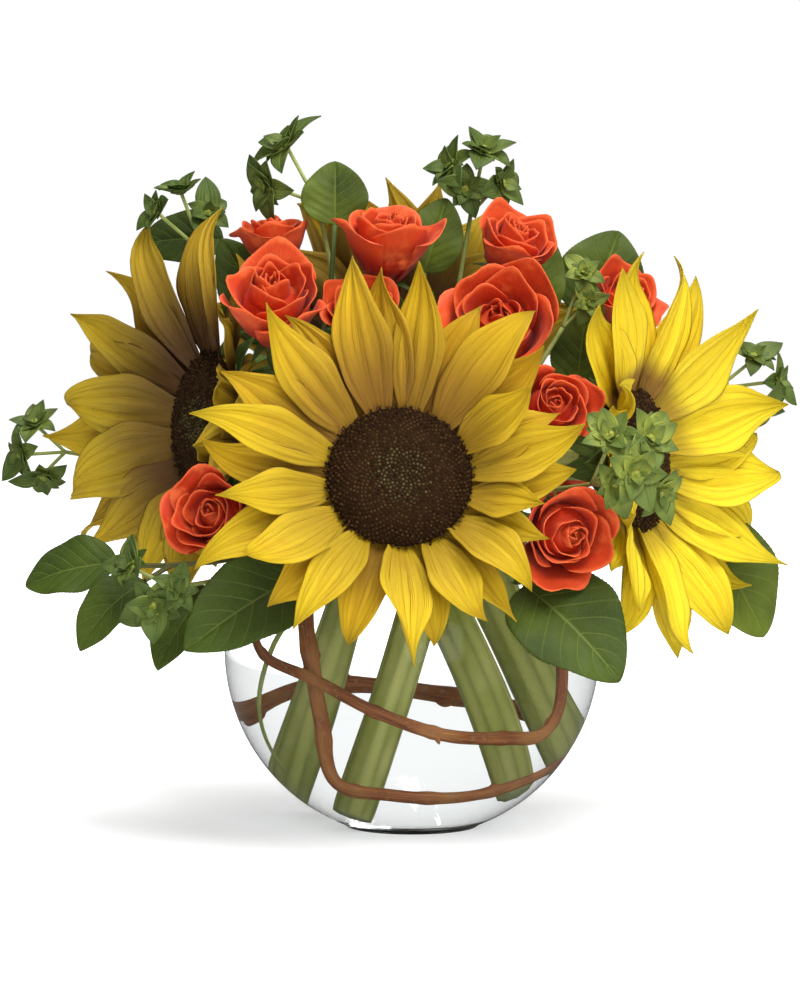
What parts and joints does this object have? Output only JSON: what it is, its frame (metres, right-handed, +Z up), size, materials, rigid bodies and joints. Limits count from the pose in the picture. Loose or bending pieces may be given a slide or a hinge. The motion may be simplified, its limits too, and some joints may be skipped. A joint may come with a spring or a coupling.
{
  "type": "sunflower arrangement in a glass bowl vase",
  "caption": "Round clear glass bowl of water with sunflowers, orange spray roses, thoroughwax sprigs, broad green leaves and willow switches coiled inside the glass.",
  "frame": {"origin": "centre of the bowl's flat foot, on the surface that it stands on", "axes": "+Z up, the front of the arrangement towards -Y, +X to the viewer's right"},
  "size_m": [0.3324, 0.2451, 0.288],
  "materials": {
    "glass": "clear, polished",
    "water": "clear water",
    "ray_petal": "soft satin, finely ribbed, golden brown towards the root",
    "seed_disc": "matt, studded with florets",
    "sunflower_stem": "satin, finely ribbed",
    "rose_petal": "velvety satin",
    "rose_green": "satin",
    "leaf": "waxy satin with pale veins",
    "sprig_green": "matt",
    "willow_bark": "smooth satin bark with paler bud scars"
  },
  "bodies": {
    "root": {"bowl_glass": "glass", "leaf_twig_left": "leaf", "leaf_twig_mid_right": "leaf", "leaf_twig_right": "leaf", "leaf_twig_top_left": "leaf", "rose_10_bloom": "rose_petal", "rose_11_bloom": "rose_petal", "rose_12_bloom": "rose_petal", "rose_1_bloom": "rose_petal", "rose_2_bloom": "rose_petal", "rose_3_bloom": "rose_petal", "rose_4_bloom": "rose_petal", "rose_5_bloom": "rose_petal", "rose_6_bloom": "rose_petal", "rose_7_bloom": "rose_petal", "rose_8_bloom": "rose_petal", "rose_9_bloom": "rose_petal", "rose_spray_a_stem": "rose_green", "rose_spray_b_stem": "rose_green", "rose_spray_c_stem": "rose_green", "rose_spray_d_stem": "rose_green", "rose_spray_e_stem": "rose_green", "rose_spray_f_stem": "rose_green", "rose_spray_g_stem": "rose_green", "rose_spray_h_stem": "rose_green", "sprig_far_left": "sprig_green", "sprig_far_right": "sprig_green", "sprig_front_right": "sprig_green", "sprig_low_left": "sprig_green", "sprig_mid_right": "sprig_green", "sprig_tall": "sprig_green", "sprig_top_left": "sprig_green", "sprig_top_right": "sprig_green", "sunflower_back_disc": "seed_disc", "sunflower_back_petals": "ray_petal", "sunflower_back_stem": "sunflower_stem", "sunflower_centre_disc": "seed_disc", "sunflower_centre_petals": "ray_petal", "sunflower_centre_stem": "sunflower_stem", "sunflower_left_disc": "seed_disc", "sunflower_left_petals": "ray_petal", "sunflower_left_stem": "sunflower_stem", "sunflower_right_disc": "seed_disc", "sunflower_right_petals": "ray_petal", "sunflower_right_stem": "sunflower_stem", "water": "water", "willow_coil": "willow_bark", "willow_front": "willow_bark"}
  },
  "joints": []
}
